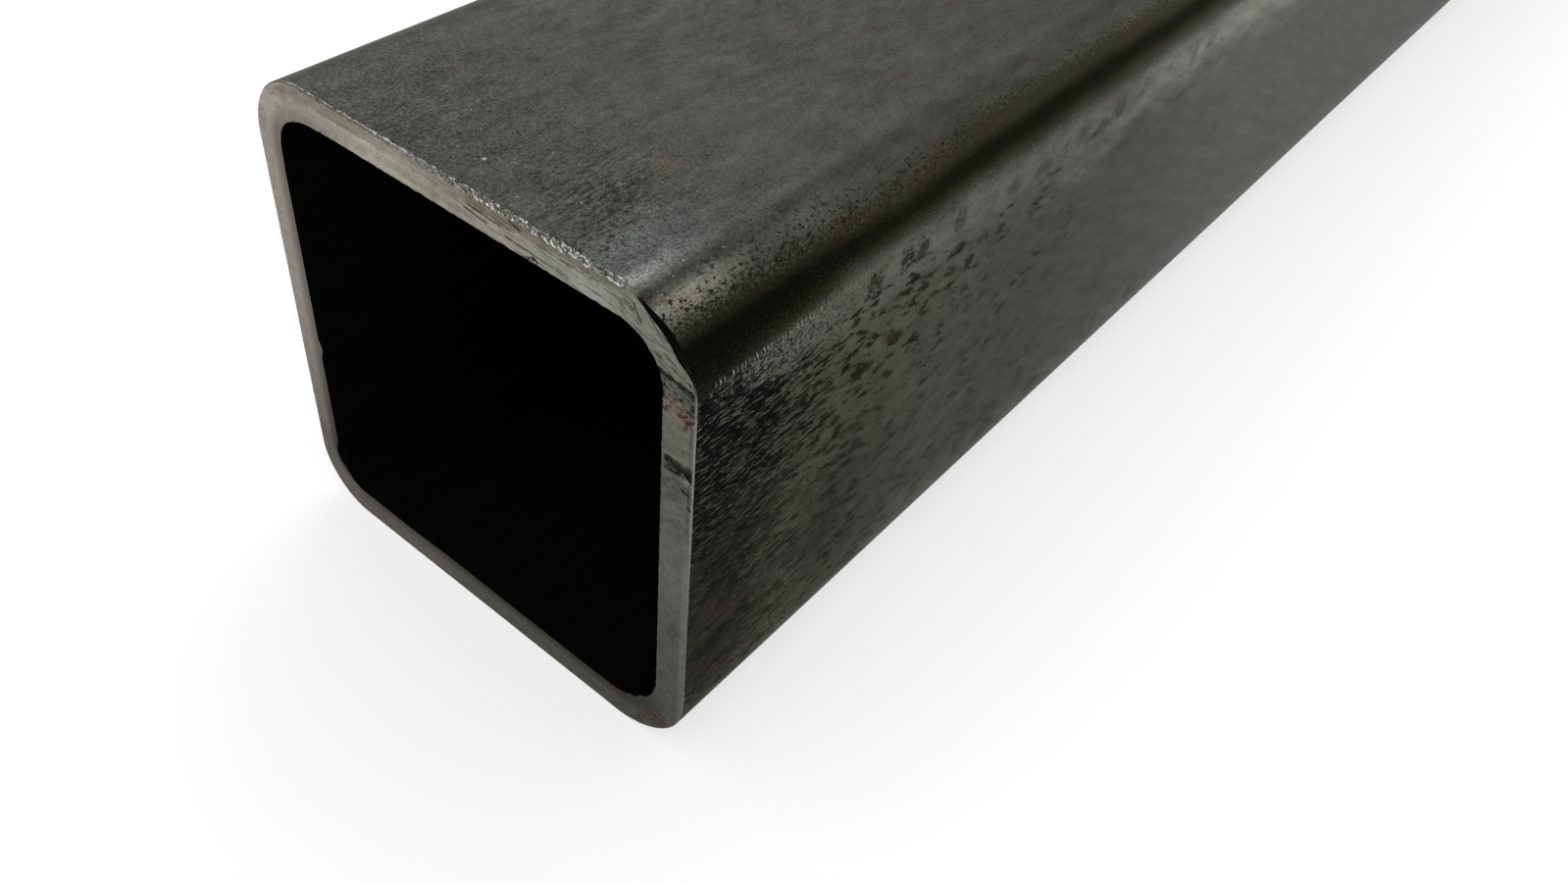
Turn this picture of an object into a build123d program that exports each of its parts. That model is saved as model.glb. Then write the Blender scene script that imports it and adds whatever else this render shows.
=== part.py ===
"""Square steel tube: one length of welded, roll-formed stock with sawn ends.

The tube lies along Y on its flat underside. The origin is under its middle, at floor level,
+Z is up, and all sizes are in millimetres.
"""

import os

from build123d import *

# Nominal size of the stock: 2 in square, 1/8 in wall, in a 1 ft length.
SIDE = 50.8
WALL = 3.175
LENGTH = 304.8

# Bend radii at the bottom left, bottom right, top right and top left corners, as seen from
# the -Y end. Roll forming leaves no two of them quite alike, outside or inside.
OUTSIDE_RADII = (6.4, 8.2, 7.4, 7.2)
INSIDE_RADII = (3.2, 5.8, 4.6, 4.6)

# The seam weld leaves a low bead inside the left wall, along the whole length.
BEAD_WIDTH = 2.0
BEAD_HEIGHT = 0.5
BEAD_CENTRE_Z = 20.4
BEAD_TOE_RADIUS = 0.3

# The outer edges of both sawn ends are lightly broken with a file.
EDGE_BREAK = 0.4

NEAR_END = Plane.XZ.offset(LENGTH / 2)


def square_corners(inset):
    """Corners of the section's square, drawn in from its sides, in the order of the radii."""
    reach = SIDE / 2 - inset
    bottom = inset
    top = SIDE - inset
    return [(-reach, bottom), (reach, bottom), (reach, top), (-reach, top)]


with BuildPart() as square_tube:
    # Outside of the section, run back along +Y for the whole length.
    with BuildSketch(NEAR_END) as outside:
        with BuildLine():
            FilletPolyline(square_corners(0), radius=OUTSIDE_RADII, close=True)
        make_face()
    extrude(amount=-LENGTH)

    # The bore, with the weld bead left standing on its left wall.
    with BuildSketch(NEAR_END) as bore:
        with BuildLine():
            FilletPolyline(square_corners(WALL), radius=INSIDE_RADII, close=True)
        make_face()
        with BuildLine():
            left_wall_x = WALL - SIDE / 2
            bead_foot = (left_wall_x, BEAD_CENTRE_Z - BEAD_WIDTH / 2)
            bead_crest = (left_wall_x + BEAD_HEIGHT, BEAD_CENTRE_Z)
            bead_head = (left_wall_x, BEAD_CENTRE_Z + BEAD_WIDTH / 2)
            ThreePointArc(bead_foot, bead_crest, bead_head)
            Line(bead_head, bead_foot)
        make_face(mode=Mode.SUBTRACT)
        left_wall_points = bore.vertices().group_by(Axis.X)[0].sort_by(Axis.Y)
        bead_toes = left_wall_points[1:-1]
        fillet(bead_toes, radius=BEAD_TOE_RADIUS)
    extrude(amount=-LENGTH, mode=Mode.SUBTRACT)

    # Broken outer edge round each sawn end.
    faces_along_y = square_tube.faces().sort_by(Axis.Y)
    for sawn_end in (faces_along_y[0], faces_along_y[-1]):
        chamfer(sawn_end.outer_wire().edges(), length=EDGE_BREAK)

square_tube.part.label = "square_tube"

os.makedirs("parts", exist_ok=True)
export_step(square_tube.part, "parts/square_tube.step")
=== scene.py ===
"""Looks of one length of welded square steel tube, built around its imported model.

The file is laid out as an add-on and is run as a script. Lengths in the panels are metres.
Inside the shape and finish functions they are millimetres, with X across the tube, Y along it
from the near end, and Z up from the underside.
"""

import math

import bpy
import numpy as np
from bpy.props import FloatProperty, FloatVectorProperty, PointerProperty
from mathutils import Matrix, Vector


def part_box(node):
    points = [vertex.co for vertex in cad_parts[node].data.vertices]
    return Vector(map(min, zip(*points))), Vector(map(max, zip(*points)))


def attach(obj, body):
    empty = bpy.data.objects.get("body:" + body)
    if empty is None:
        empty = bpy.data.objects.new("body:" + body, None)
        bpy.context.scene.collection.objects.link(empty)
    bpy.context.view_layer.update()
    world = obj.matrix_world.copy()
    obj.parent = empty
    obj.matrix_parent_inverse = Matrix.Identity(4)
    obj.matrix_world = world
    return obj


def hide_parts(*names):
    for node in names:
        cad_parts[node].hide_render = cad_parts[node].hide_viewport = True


bl_info = {
    "name": "Square Steel Tube",
    "version": (1, 0, 0),
    "blender": (4, 5, 0),
    "location": "View3D > Sidebar > Tube",
    "description": "Builds the finished wall of a sawn square tube and a plain studio around it",
    "category": "Add Mesh",
}

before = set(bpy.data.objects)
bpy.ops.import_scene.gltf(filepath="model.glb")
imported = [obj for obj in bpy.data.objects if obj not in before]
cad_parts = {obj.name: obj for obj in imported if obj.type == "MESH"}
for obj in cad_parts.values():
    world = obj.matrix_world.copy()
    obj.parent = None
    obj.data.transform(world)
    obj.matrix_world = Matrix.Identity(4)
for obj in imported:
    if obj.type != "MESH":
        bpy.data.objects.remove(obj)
NODE = "square_tube"
LOW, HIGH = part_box(NODE)
SIZE = HIGH - LOW
NEAR_END = Vector((0.0, LOW.y, LOW.z))
MM = 1000.0
SIDE = SIZE.x * MM
HALF = SIDE / 2
LENGTH = SIZE.y * MM
WALL = 3.175

# Bend radii at the end of each side, going bottom, right, top, left as seen from the near end.
OUTSIDE_RADII = (8.2, 7.4, 7.2, 6.4)
INSIDE_RADII = (5.8, 4.6, 4.6, 3.2)
LEFT = 3
BEND = 7.4
BEAD_Z = 20.4
BEAD_HALF_WIDTH = 1.3

# Share of each side's columns that lie on its flat, before its bend.
FLAT_SHARE = 0.75

# How far from the near end the outside starts to roll over to the filed edge, and how far the
# looks of the near cut reach.
ROUNDED_OVER = 1.2
NEAR_END_FINISH = 2.0

# Rows of points along the outside, down the filed edge, over each cut and through the bore.
OUTSIDE_ROWS, EDGE_ROWS, NEAR_CUT_ROWS, FAR_CUT_ROWS, BORE_ROWS = 46, 7, 20, 12, 24
MILL_SCALE, SAWN_STEEL, FILED_EDGE, BORE_SCALE_AND_SHADE = range(4)

# Pitch of the fine ticks below the black band, and middle and half width along the tube of
# each blot beside them.
TICK_PITCH = 0.45
BLOTS = ((1.2, 2.2), (4.6, 0.9), (21.4, 1.9), (25.9, 1.6), (28.2, 1.3), (33.7, 1.6))

# Camera in metres from the bottom middle of the near end, with its pan, tilt and roll in
# degrees and its shift, and the lamp in metres from the middle of the tube.
CAMERA_PLACE = Vector((0.06965, -0.05254, 0.10720))
CAMERA_TURN = (35.997, 40.934, 5.375)
CAMERA_SHIFT = (0.00796, -0.04551)
LAMP_PLACE = Vector((-0.25, 0.45, 0.75))

# What the open floor adds up to as seen by the camera, a little over white.
OPEN_FLOOR = 1.03


# ---------------------------------------- shape


def ease(value, start, end):
    """Smooth step: 0 before start, 1 after end, and a cubic S in between."""
    share = np.clip((value - start) / (end - start), 0, 1)
    return share * share * (3 - 2 * share)


def hump(value, centre, half_width):
    """Smooth bump: 1 at the centre, falling to 0 one half width to each side."""
    return 1 - ease(np.abs(value - centre), 0, half_width)


def wander(position, cycles, seed):
    """Closed unevenness from -1 to 1: a sum of sine waves that run a whole number of cycles
    over position 0 to 1, each with its own seeded phase and weight."""
    rng = np.random.default_rng(seed)
    phases = rng.uniform(0, 2 * np.pi, len(cycles))
    weights = rng.uniform(0.4, 1.0, len(cycles))
    waves = np.sin(2 * np.pi * position[..., None] * np.asarray(cycles) + phases)
    return waves @ weights / weights.sum()


def ragged(position, seed, coarse=70, fine=610):
    """Torn unevenness from about -1 to 1: many short sine waves around the tube, the longer
    ones stronger, sharpened so that few points stand high and most lie low."""
    cycles = np.unique(np.geomspace(coarse, fine, 26).astype(int))
    waves = wander(position, cycles, seed)
    return np.clip(waves * 3.2, -1, 1)


def column_places():
    """The section parameter of every column: the side's number plus the share of that side.
    Columns are close on the top edge, at the bends and over the weld bead."""
    spans = (
        (0.00, 0.75, 66), (0.75, 1.00, 44),
        (1.00, 1.75, 110), (1.75, 2.00, 66),
        (2.00, 2.75, 300), (2.75, 3.00, 48),
        (3.00, 3.43, 44), (3.43, 3.50, 30), (3.50, 3.75, 48), (3.75, 4.00, 44),
    )
    return np.concatenate([np.linspace(start, end, count, endpoint=False)
                           for start, end, count in spans])


def section_loop(place, half, radii):
    """A square with round corners, centred on the tube's axis. On a side the point runs in a
    straight line between two bends, and on a bend it turns a quarter circle about its centre."""
    outward = np.array([(0, -1), (1, 0), (0, 1), (-1, 0)], float)
    along = np.array([(1, 0), (0, 1), (-1, 0), (0, -1)], float)
    radii = np.asarray(radii, float)
    side = place.astype(int) % 4
    before, after = (side - 1) % 4, (side + 1) % 4
    share = place - np.floor(place)
    corner = half * (outward[side] + outward[after])
    previous = half * (outward[before] + outward[side])
    start = previous + along[side] * radii[before][:, None]
    end = corner - along[side] * radii[side][:, None]
    flat = start + (end - start) * np.minimum(share / FLAT_SHARE, 1)[:, None]
    angle = np.clip((share - FLAT_SHARE) / (1 - FLAT_SHARE), 0, 1) * np.pi / 2
    turned = outward[side] * np.cos(angle)[:, None] + outward[after] * np.sin(angle)[:, None]
    centre = corner - radii[side][:, None] * (outward[side] + outward[after])
    bend = centre + radii[side][:, None] * turned
    return np.where((share < FLAT_SHARE)[:, None], flat, bend), turned


class TubeShape:
    """Everything about the columns that the rows share: both section loops, the way inwards
    from one to the other, and each column's share of the way round."""

    def __init__(self, sizes):
        self.sizes = sizes
        place = column_places()
        self.outer, self.outward = section_loop(place, HALF, OUTSIDE_RADII)
        self.inner, _ = section_loop(place, HALF - WALL, INSIDE_RADII)
        on_left = (place >= LEFT) & (place < LEFT + FLAT_SHARE)
        offset = self.inner[:, 1] + HALF - BEAD_Z
        rise = (1 - np.clip(np.abs(offset) / BEAD_HALF_WIDTH, 0, 1) ** 2) ** 2
        self.bead = np.where(on_left, rise, 0) * sizes.bead_height * MM
        steps = np.linalg.norm(np.diff(self.outer, axis=0, append=self.outer[:1]), axis=1)
        self.round_share = np.concatenate([[0], np.cumsum(steps)[:-1]]) / steps.sum()
        self.x = self.outer[:, 0]
        self.z = self.outer[:, 1] + HALF

    def near_break(self):
        """The filed edge at the near end, as its reach along the tube, its depth into the wall
        and how far its outer side is rolled over. It is a thin line all round, a flat crescent
        round the top right bend, and torn along the top where the saw left a burr."""
        lean = np.degrees(np.arctan2(self.outward[:, 0], self.outward[:, 1]))
        crescent = ease(lean, -6, 34) * (1 - ease(lean, 56, 74))
        top = ease(self.z, SIDE - 1, SIDE) * (1 - ease(self.x, 17.8, 19.4))
        burred = top * ease(self.x, -14, 3)
        uneven = wander(self.round_share, (3, 7, 11, 19, 31), seed=4)
        torn = (0.04 * top + 0.07 * burred) * ragged(self.round_share, seed=5)
        width = 0.13 + 0.02 * uneven
        reach = width - 0.08 * crescent + 0.04 * top + 0.14 * burred + torn
        depth = width + 0.80 * crescent + 0.07 * top + 0.36 * burred + torn
        return reach, depth, 0.30 * ease(lean, 4, 14) * (1 - ease(lean, 20, 44))

    def far_break(self):
        """Width of the filed edge at the far end, fairly even."""
        return 0.34 + 0.08 * wander(self.round_share, (2, 5, 9, 17, 43), seed=8)

    def inner_lip(self):
        """How far the lip of the bore stands into it at the near end, or is worn back where it
        is negative: worn all down the left with a notch near the bottom, torn along the bottom,
        and with two small tags in the bottom right bend."""
        x, z = self.inner[:, 0], self.inner[:, 1] + HALF
        bottom = (1 - ease(z, 3.4, 6.0)) * (1 - ease(x, 14, 18))
        left = 1 - ease(x, -22.3, -19.0)
        torn = ragged(self.round_share, seed=6, coarse=50, fine=300)
        notch = 0.55 * ease(z, 4.9, 5.4) * (1 - ease(z, 6.6, 8.2)) * left
        tags = 0.28 * hump(x, 20.3, 0.7) * hump(z, 5.2, 1.6)
        tags = tags + 0.24 * hump(x, 19.0, 0.6) * hump(z, 4.4, 1.4)
        worn = (0.10 + 0.25 * (1 - ease(x, -12, -5)) + 0.05 * torn) * bottom
        worn = worn + (0.44 + 0.05 * torn) * left * ease(z, 3.4, 7) + notch
        upper = 0.22 * ease(z, 40, 45) * (1 - ease(x, -21, -13))
        return 0.03 + 0.04 * torn - worn + tags + upper

    def waviness(self, y):
        """How far the outside lies below the true flat: broad waves both ways and fine ones
        that run along the tube, all of them inwards."""
        rounds, along = self.round_share, y / LENGTH
        depth = np.zeros_like(along)
        waves = ((3, 1.3, 21), (5, 2.2, 22), (8, 3.1, 23), (13, 0.9, 24), (29, 0.6, 25))
        for turns, lengths, seed in waves:
            phase = np.random.default_rng(seed).uniform(0, 2 * np.pi)
            depth += np.sin(2 * np.pi * (turns * rounds + lengths * along) + phase)
        return (depth / 5 + 1) / 2 * self.sizes.waviness * MM

    def saw_ripple(self, z):
        """How far the cut lies behind its plane: ridges that run straight across the whole end,
        as the saw left them, so that the depth is a sum of sine waves of the height alone."""
        ridges = np.sin(z * 5.3 + 0.4) + np.sin(z * 3.1 + 1.9) + 0.8 * np.sin(z * 1.37 + 2.6)
        return (ridges / 2.8 + 1) / 2 * self.sizes.saw_ripple * MM

    def rows(self):
        """The closed profile of the wall as rows. Each row has its share of the way inwards
        (0 outside, 1 in the bore), its distance from the near end and its finish.
        It runs along the outside to the near end, over the cut, back through the bore, over
        the far cut and round to the start."""
        (near, deep, rolled), far = self.near_break(), self.far_break()
        lip = self.inner_lip()
        one = np.ones_like(self.x)
        blocks = []

        def add(inward, y, finish):
            inward, y = np.broadcast_arrays(inward, y)
            blocks.append((inward * one, y * one, np.full(len(inward), finish)))

        def steps(count, first=0.0, last=1.0):
            return np.linspace(first, last, count)[:, None]

        def gathered(count):
            even = steps(count)
            return 0.35 * even + 0.65 * (1 - np.cos(np.pi * even)) / 2

        outside = gathered(OUTSIDE_ROWS)[::-1]
        add(0.0 * outside, ROUNDED_OVER + (LENGTH - ROUNDED_OVER - far) * outside, MILL_SCALE)
        share = steps(4, 0.25, 1.0)
        add(rolled * share**2 / WALL, ROUNDED_OVER + (near - ROUNDED_OVER) * share, MILL_SCALE)

        share = steps(EDGE_ROWS, 0.03, 0.97)
        lumps = np.stack([ragged(self.round_share, seed=40 + row) for row in range(EDGE_ROWS)])
        top = ease(self.z, SIDE - 1, SIDE) * ease(self.x, -23, -16) * (1 - ease(self.x, 17.8, 19.4))
        stand = (0.01 + 0.09 * top) * lumps + 0.03 * top
        add(np.clip(rolled + share * (deep - rolled) - stand, 0, None) / WALL,
            np.clip((1 - share) * near - stand, 0, None), FILED_EDGE)

        across = gathered(NEAR_CUT_ROWS)
        add((deep + 0.02 + (WALL + lip - deep - 0.02) * across) / WALL,
            self.saw_ripple(self.z) * np.sin(np.pi * across), SAWN_STEEL)

        add(1 + lip / WALL * np.array([[0.9], [0.6], [0.0]]),
            np.array([[0.10], [0.35], [0.90]]), BORE_SCALE_AND_SHADE)
        inside = gathered(BORE_ROWS)
        add(1.0 + 0.0 * inside, 1.4 + (LENGTH - 2.4) * inside, BORE_SCALE_AND_SHADE)

        across = gathered(FAR_CUT_ROWS)[::-1]
        add((far + (WALL - far) * across) / WALL,
            LENGTH - self.saw_ripple(self.z + 17) * np.sin(np.pi * across), SAWN_STEEL)
        share = steps(3, 3 / 4, 1 / 4)
        add(share * far / WALL, LENGTH - (1 - share) * far, FILED_EDGE)
        return [np.concatenate(parts) for parts in zip(*blocks)]

    def points(self, inward, y):
        """A row's points lie between the two loops by its share of the way inwards. The weld
        bead is added towards the bore and the waviness is taken off the outside."""
        way = (self.inner - self.outer)[None]
        flat = self.outer[None] + way * inward[..., None]
        bead = self.bead * (1 + 0.25 * np.sin(y / 9.0) * np.sin(y / 23.0 + 1)) / 1.25
        flat[..., 0] += bead * ease(inward, 0.5, 1.0)
        sunk = self.waviness(y) * (1 - np.clip(inward, 0, 1))
        flat -= self.outward[None] * sunk[..., None]
        return np.stack([flat[..., 0], y - LENGTH / 2, flat[..., 1] + HALF], -1) / MM


def closed_grid_mesh(name, points, row_finish):
    """A mesh from a grid of points that closes on itself both ways, so it has no open edge.
    Every quad joins a point to the next column and the next row, and takes its row's finish."""
    rows, columns = points.shape[:2]
    row = np.arange(rows)[:, None]
    column = np.arange(columns)[None]
    next_row, next_column = (row + 1) % rows, (column + 1) % columns
    quads = np.stack([row * columns + column, row * columns + next_column,
                      next_row * columns + next_column, next_row * columns + column], -1)
    quads = quads.reshape(-1, 4).astype(np.int32)
    finish = np.repeat(np.minimum(row_finish, np.roll(row_finish, -1)), columns)
    mesh = bpy.data.meshes.new(name)
    mesh.vertices.add(rows * columns)
    mesh.vertices.foreach_set("co", points.reshape(-1).astype(np.float32))
    mesh.loops.add(quads.size)
    mesh.loops.foreach_set("vertex_index", quads.reshape(-1))
    mesh.polygons.add(len(quads))
    mesh.polygons.foreach_set("loop_start", np.arange(0, quads.size, 4, dtype=np.int32))
    mesh.polygons.foreach_set("material_index", finish.astype(np.int32))
    mesh.polygons.foreach_set("use_smooth", np.ones(len(quads), bool))
    mesh.update(calc_edges=True)
    mesh.validate()
    return mesh


# ---------------------------------------- finishes


class Signal:
    """A number or a direction inside a finish. Its + - * and / add the math nodes they name."""

    def __init__(self, finish, socket):
        self.finish = finish
        self.socket = socket

    def __add__(self, other):
        return self.finish.math("ADD", self, other)

    def __sub__(self, other):
        return self.finish.math("SUBTRACT", self, other)

    def __mul__(self, other):
        return self.finish.math("MULTIPLY", self, other)

    def __truediv__(self, other):
        return self.finish.math("DIVIDE", self, other)

    def __rsub__(self, other):
        return self.finish.math("SUBTRACT", other, self)

    __radd__ = __add__
    __rmul__ = __mul__

    def rise(self, start, end):
        """0 before start, 1 after end and an S in between. Start may be the larger one."""
        if end < start:
            return 1 - self.rise(end, start)
        return self.finish.node("ShaderNodeMapRange", {0: self, 1: start, 2: end},
                                interpolation_type="SMOOTHSTEP")

    def bell(self, centre, half_width):
        """1 at the centre, falling to 0 one half width away."""
        return self.finish.math("ABSOLUTE", self - centre).rise(half_width, 0)

    def highest(self, cover, softness=0.03):
        """1 where a cloud stands highest, over about the given share of the area."""
        limit = 0.62 - cover * 0.26
        return ((self - limit) / softness).rise(-0.5, 0.5) * cover.rise(0, 0.08)

    def over(self, limit):
        """1 where the number is over the limit, and 0 elsewhere."""
        return self.finish.math("GREATER_THAN", self, limit)

    def at_least(self, limit):
        return self.finish.math("MAXIMUM", self, limit)

    def at_most(self, limit):
        return self.finish.math("MINIMUM", self, limit)


class Finish:
    """One metal finish under construction: a material, and short names for its nodes."""

    def __init__(self, name, metallic=1.0, specular=0.5, edge_tint=1.0):
        self.material = bpy.data.materials.new(name)
        self.material.use_nodes = True
        self.tree = self.material.node_tree
        self.shader = self.tree.nodes["Principled BSDF"]
        self.shader.inputs["Metallic"].default_value = metallic
        self.shader.inputs["Specular IOR Level"].default_value = specular
        self.shader.inputs["Specular Tint"].default_value = (edge_tint, edge_tint, edge_tint, 1.0)
        object_place = self.tree.nodes.new("ShaderNodeTexCoord").outputs["Object"]
        from_end = self.node("ShaderNodeVectorMath",
                             {0: Signal(self, object_place), 1: NEAR_END}, operation="SUBTRACT")
        self.place = self.node("ShaderNodeVectorMath", {0: from_end, "Scale": MM}, operation="SCALE")
        parts = self.tree.nodes.new("ShaderNodeSeparateXYZ")
        self.tree.links.new(self.place.socket, parts.inputs[0])
        self.x, self.y, self.z = (Signal(self, output) for output in parts.outputs)
        self.corner_x = self.math("ABSOLUTE", self.x) - (HALF - BEND)
        self.corner_z = self.math("ABSOLUTE", self.z - HALF) - (HALF - BEND)

    def node(self, kind, inputs, output=0, **settings):
        """Adds a node, sets it, and links or writes its inputs. Returns one of its outputs."""
        node = self.tree.nodes.new(kind)
        for name, value in settings.items():
            setattr(node, name, value)
        for name, value in inputs.items():
            if isinstance(value, Signal):
                self.tree.links.new(value.socket, node.inputs[name])
            else:
                node.inputs[name].default_value = value
        return Signal(self, node.outputs[output])

    def math(self, operation, *values):
        return self.node("ShaderNodeMath", dict(enumerate(values)), operation=operation)

    def stretched(self, per_mm, shift=0.0, slant=0.0, lean=0.0):
        """The place with each direction scaled to so many features a millimetre. Slant leans
        the pattern, so that it drops as it runs along the tube, and lean as it runs across."""
        place = self.place
        if slant or lean:
            height = self.z + self.y * slant + self.x * lean
            place = self.node("ShaderNodeCombineXYZ", {0: self.x, 1: self.y, 2: height})
        return self.node("ShaderNodeVectorMath",
                         {0: place, 1: Vector(per_mm), 2: Vector((shift, shift * 0.7, shift * 1.3))},
                         operation="MULTIPLY_ADD")

    def cloud(self, per_mm, shift=0.0, detail=2.0, roughness=0.5, slant=0.0, lean=0.0):
        """Soft noise from about 0.25 to 0.75."""
        place = self.stretched(per_mm, shift, slant, lean)
        return self.node("ShaderNodeTexNoise",
                         {"Vector": place, "Scale": 1.0, "Detail": detail, "Roughness": roughness})

    def stroke(self, start, end, half_width, core=0.4):
        """A scratch on the cut, from one (x, z) to another. It is full over the core share of
        the half width and fades out at the half width."""
        run = (end[0] - start[0], end[1] - start[1])
        square = run[0] ** 2 + run[1] ** 2
        dx, dz = self.x - start[0], self.z - start[1]
        share = ((dx * run[0] + dz * run[1]) / square).at_least(0).at_most(1)
        gap_x, gap_z = dx - share * run[0], dz - share * run[1]
        distance = self.math("SQRT", gap_x * gap_x + gap_z * gap_z)
        return distance.rise(half_width, half_width * core)

    def round_the_bend(self):
        """Distance along the skin from where the nearest flat top or bottom ends, through the
        bend and down the side: negative on the top, and past the quarter circle on the side."""
        angle = self.math("ARCTAN2", self.corner_x.at_least(0), self.corner_z.at_least(0))
        on_side = 0 - self.corner_z
        return self.corner_x.at_most(0) + angle * BEND + on_side.at_least(0)

    def at_near_end(self):
        """1 on the near end and 0 on the far one, for what only the near end carries."""
        return self.y.rise(NEAR_END_FINISH, NEAR_END_FINISH / 2)

    def depth(self):
        """Distance in from the outside of the tube, on the cut."""
        out_x, out_z = self.corner_x.at_least(0), self.corner_z.at_least(0)
        reach = self.math("SQRT", out_x * out_x + out_z * out_z)
        inside = self.math("MAXIMUM", self.corner_x, self.corner_z).at_most(0)
        return BEND - reach - inside

    def shaded(self, tint, shade):
        """A tint at the given brightness."""
        tint = tint if isinstance(tint, Signal) else Vector(tint)
        return self.node("ShaderNodeVectorMath", {0: tint, "Scale": shade}, operation="SCALE")

    def tinted(self, tint, share=1.0):
        """A tint at a share of the finish's own brightness, self.shade."""
        return self.shaded(tint, self.shade * share)

    def layer(self, colour, mask, top):
        """One colour over another where the mask is 1."""
        top = top if isinstance(top, Signal) else (*top, 1.0)
        return self.node("ShaderNodeMix", {0: mask, 6: colour, 7: top}, output=2, data_type="RGBA")

    def coat(self, mask, top):
        """Lays another colour over the finish so far, self.colour, where the mask is 1."""
        self.colour = self.layer(self.colour, mask, top)

    def done(self, roughness, relief):
        """Connects the colour, the roughness and a relief whose height is in millimetres."""
        for name, value in (("Base Color", self.colour), ("Roughness", roughness)):
            self.tree.links.new(value.socket, self.shader.inputs[name])
        bump = self.node("ShaderNodeBump", {"Strength": 1.0, "Distance": 1 / MM, "Height": relief})
        self.tree.links.new(bump.socket, self.shader.inputs["Normal"])
        return self.material


class MillScale(Finish):
    """The rolled outside, with the places and patterns that its layers share. Skin is the
    distance round the bend with a slow wobble, so that no line runs quite true."""

    def __init__(self, look):
        super().__init__("mill_scale", edge_tint=look.scale_edge)
        self.wobble = self.cloud((0.5, 0.12, 0.5), shift=3) - 0.5
        self.seam = self.round_the_bend()
        self.skin = self.seam + self.wobble
        self.right, self.upper = self.x.over(0), self.z.over(HALF)
        self.lead_corner = self.right * self.upper
        self.side = self.skin.rise(9.2, 11.2)
        self.near = self.y.rise(24, 2)
        self.soft = self.z.rise(34, 18)
        self.grain = self.cloud((5.0, 3.4, 5.0), shift=11, detail=3, roughness=0.7) - 0.5
        self.mottle = self.cloud((0.70, 0.28, 0.70), shift=13, detail=5, roughness=0.66) - 0.5
        self.warm = self.cloud((0.45, 0.16, 0.45), shift=31, detail=4, roughness=0.6)
        brushed = self.cloud((4.4, 0.8, 4.4), shift=7, detail=3, roughness=0.6) - 0.5
        self.brushed = brushed * self.near * (self.skin.bell(-9, 12) * self.upper).at_least(self.side * 0.6)


def scale_grain_and_painted_light(f, look):
    """Brightness of the top and the bend: grain, mottle and brushing, then painted light and shade:
    a painted fall to the right and farther along, and painted highlights along the upper right
    bend with a painted dark reflection line between."""
    x, y, skin, near = f.x, f.y, f.skin, f.near
    across = f.cloud((0.5, 2.4, 0.5), shift=9, detail=3) - 0.5
    flecked = f.cloud((2.0, 0.7, 2.0), shift=12, detail=3, roughness=0.6) - 0.5
    grained = (1.8 + near * 1.7) * (1 - skin.bell(4.2, 3.2) * f.lead_corner * 0.45)
    mottled = 1.2 + y.bell(30, 18) * (0.35 + f.side * 0.25) - y.rise(45, 80) * 0.5
    shade = look.scale_shade * (1 + f.grain * grained + f.mottle * mottled
                                + flecked * near * (0.3 + x.rise(-4, 6) * 0.6))
    shade = shade * (1 + f.brushed * 1.8) * (1 + across * near * 0.5)

    # Painted light and shade on the flat top: lighter far to the left, darker to the right and farther
    # along.
    top = 0.88 - x * 0.008 + x.rise(-11, -17) * 0.14 - y.rise(35, 80) * 0.07 * (1 - skin.rise(1, 3))
    # Painted highlights along the upper right bend, strongest beside the near end, and below them a painted
    # dark reflection line.
    painted_shine = skin.bell(0.7, 1.9) * y.rise(11, -3) * 2.2 + skin.bell(-2.8, 3.2) * y.rise(13, 0) * 0.5
    painted_shine = painted_shine + skin.bell(3.9, 1.8) * y.rise(11, 3) * 2.4 + skin.bell(4.8, 2.8) * y.rise(30, 80) * 0.65
    painted_shine = painted_shine + skin.bell(3.9, 1.7) * (y.bell(20, 14) * 0.28 + y.bell(13, 6) * 0.22)
    painted_dark_line = skin.bell(2.1, 1.7) * (0.36 + y.rise(12, 0) * 0.34 - y.rise(25, 55) * 0.24)
    return shade * (1 + (top - 1) * f.upper * (1 - f.side)) * (1 + (painted_shine - painted_dark_line) * f.lead_corner)


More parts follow.
